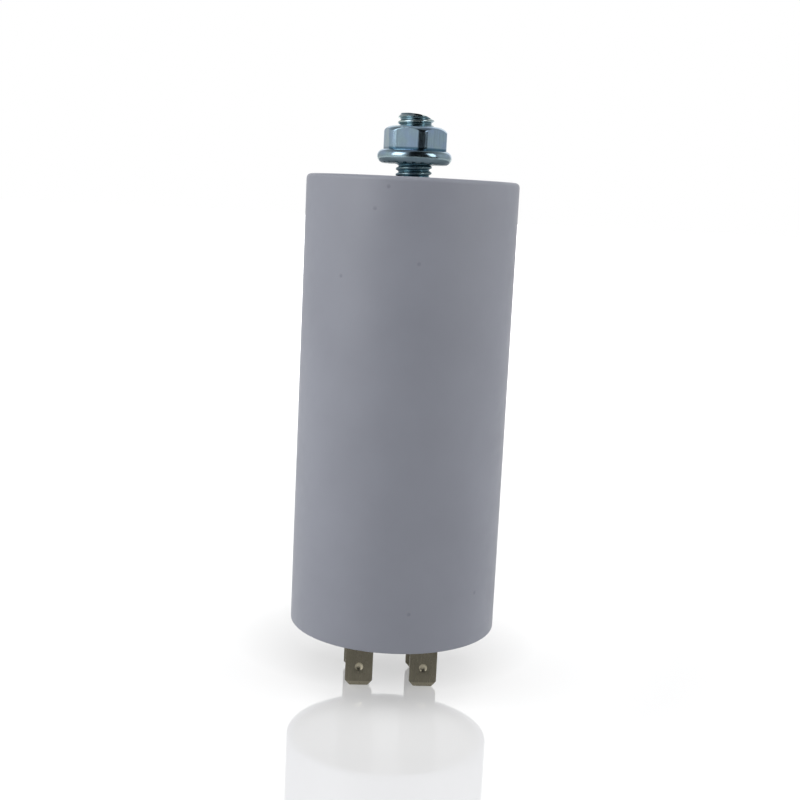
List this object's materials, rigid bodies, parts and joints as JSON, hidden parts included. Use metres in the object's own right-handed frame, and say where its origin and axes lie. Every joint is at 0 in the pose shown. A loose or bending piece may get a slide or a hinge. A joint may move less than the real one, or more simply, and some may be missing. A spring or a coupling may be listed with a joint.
{
  "type": "motor run capacitor",
  "caption": "Cylindrical film capacitor in a moulded plastic cup, potted with resin, with a threaded mounting stud and flange nut at one end and push-on tab terminals at the other.",
  "frame": {"origin": "centre of the flat mounting face at the stud end, on the axis of the stud", "axes": "+Z out along the stud; X through the middles of the two terminals, -Y the side that faces the viewer"},
  "size_m": [0.047, 0.047, 0.1295],
  "materials": {
    "can_plastic": "pale blue-grey moulded plastic, satin",
    "zinc_steel": "bright zinc plate, thread",
    "zinc_steel_nut": "bright zinc plate, blue passivated",
    "resin": "cast resin, smooth",
    "film": "metallised film edge-on",
    "core_plastic": "plain extruded tube",
    "wrap_film": "clear film turns",
    "sprayed_metal": "rough flame-sprayed zinc",
    "tinned_wire": "tinned copper",
    "sleeve_plastic": "flexible insulation",
    "solder": "dull solder",
    "tinned_brass": "dull tin over brass, olive grey"
  },
  "bodies": {
    "root": {"housing_can": "can_plastic", "mounting_stud": "zinc_steel", "flange_nut": "zinc_steel_nut", "potting_resin": "resin", "film_winding": "film", "winding_core": "core_plastic", "winding_wrap": "wrap_film", "end_spray_upper": "sprayed_metal", "end_spray_lower": "sprayed_metal", "lead_upper": "tinned_wire", "lead_lower": "tinned_wire", "lead_sleeve_upper": "sleeve_plastic", "lead_sleeve_lower": "sleeve_plastic", "spray_joint_upper": "solder", "spray_joint_lower": "solder", "web_joint_upper": "solder", "web_joint_lower": "solder", "terminal_left": "tinned_brass", "terminal_right": "tinned_brass"}
  },
  "joints": []
}
